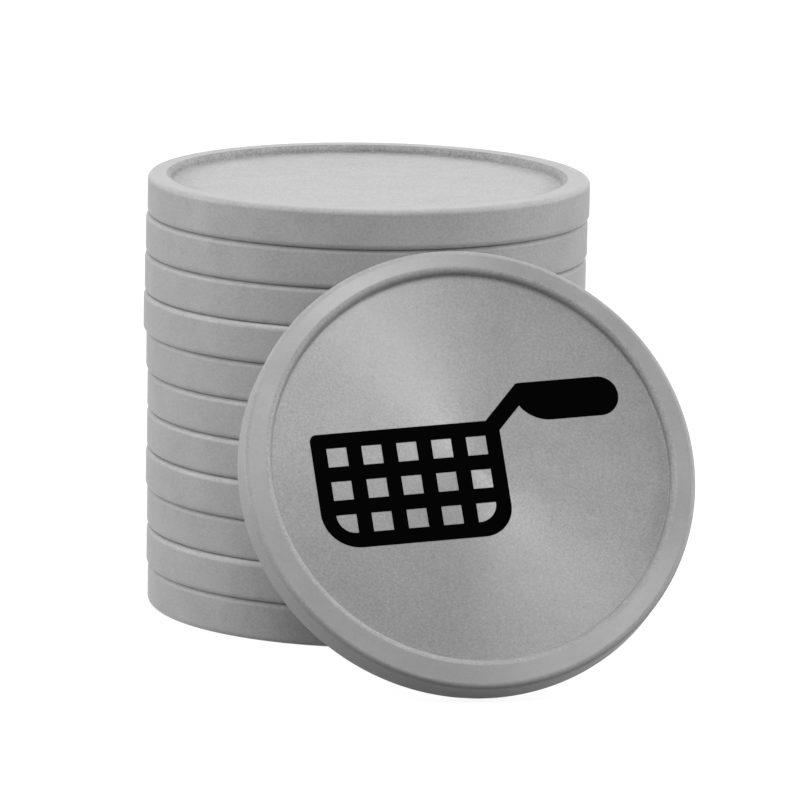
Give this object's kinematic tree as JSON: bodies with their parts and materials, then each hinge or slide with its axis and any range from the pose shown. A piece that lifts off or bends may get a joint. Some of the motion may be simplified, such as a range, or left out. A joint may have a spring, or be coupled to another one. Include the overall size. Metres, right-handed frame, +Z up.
{
  "type": "drink chip",
  "caption": "Loose stack of round grey plastic drink chips with raised rims and recessed faces, and a printed chip leaning on the front of the stack.",
  "frame": {"origin": "centre of the stack's base, on the surface that the chips stand on", "axes": "+Z up along the stack, -Y towards the front, where the leaning chip stands, +X to its right"},
  "size_m": [0.0356, 0.0452, 0.0286],
  "materials": {
    "chip_plastic": "satin mid-grey moulded plastic with a fine grain on the recessed faces",
    "print_ink": "flat black printing ink on the leaning chip's recessed face"
  },
  "bodies": {
    "chip_01": {"chip_01": "chip_plastic"},
    "chip_02": {"chip_02": "chip_plastic"},
    "chip_03": {"chip_03": "chip_plastic"},
    "chip_04": {"chip_04": "chip_plastic"},
    "chip_05": {"chip_05": "chip_plastic"},
    "chip_06": {"chip_06": "chip_plastic"},
    "chip_07": {"chip_07": "chip_plastic"},
    "chip_08": {"chip_08": "chip_plastic"},
    "chip_09": {"chip_09": "chip_plastic"},
    "chip_10": {"chip_10": "chip_plastic"},
    "chip_11": {"chip_11": "chip_plastic"},
    "front_chip": {"front_chip": "chip_plastic"}
  },
  "joints": [
    {"name": "chip_02_lift", "type": "slide", "parent": "chip_01", "child": "chip_02", "axis": [0, 0, 1], "range_m": [0, 0.01]},
    {"name": "chip_03_lift", "type": "slide", "parent": "chip_02", "child": "chip_03", "axis": [0, 0, 1], "range_m": [0, 0.01]},
    {"name": "chip_04_lift", "type": "slide", "parent": "chip_03", "child": "chip_04", "axis": [0, 0, 1], "range_m": [0, 0.01]},
    {"name": "chip_05_lift", "type": "slide", "parent": "chip_04", "child": "chip_05", "axis": [0, 0, 1], "range_m": [0, 0.01]},
    {"name": "chip_06_lift", "type": "slide", "parent": "chip_05", "child": "chip_06", "axis": [0, 0, 1], "range_m": [0, 0.01]},
    {"name": "chip_07_lift", "type": "slide", "parent": "chip_06", "child": "chip_07", "axis": [0, 0, 1], "range_m": [0, 0.01]},
    {"name": "chip_08_lift", "type": "slide", "parent": "chip_07", "child": "chip_08", "axis": [0, 0, 1], "range_m": [0, 0.01]},
    {"name": "chip_09_lift", "type": "slide", "parent": "chip_08", "child": "chip_09", "axis": [0, 0, 1], "range_m": [0, 0.01]},
    {"name": "chip_10_lift", "type": "slide", "parent": "chip_09", "child": "chip_10", "axis": [0, 0, 1], "range_m": [0, 0.01]},
    {"name": "chip_11_lift", "type": "slide", "parent": "chip_10", "child": "chip_11", "axis": [0, 0, 1], "range_m": [0, 0.01]},
    {"name": "front_chip_pull", "type": "slide", "parent": "chip_01", "child": "front_chip", "axis": [0.181, -0.8513, 0.4924], "range_m": [0, 0.02]}
  ]
}
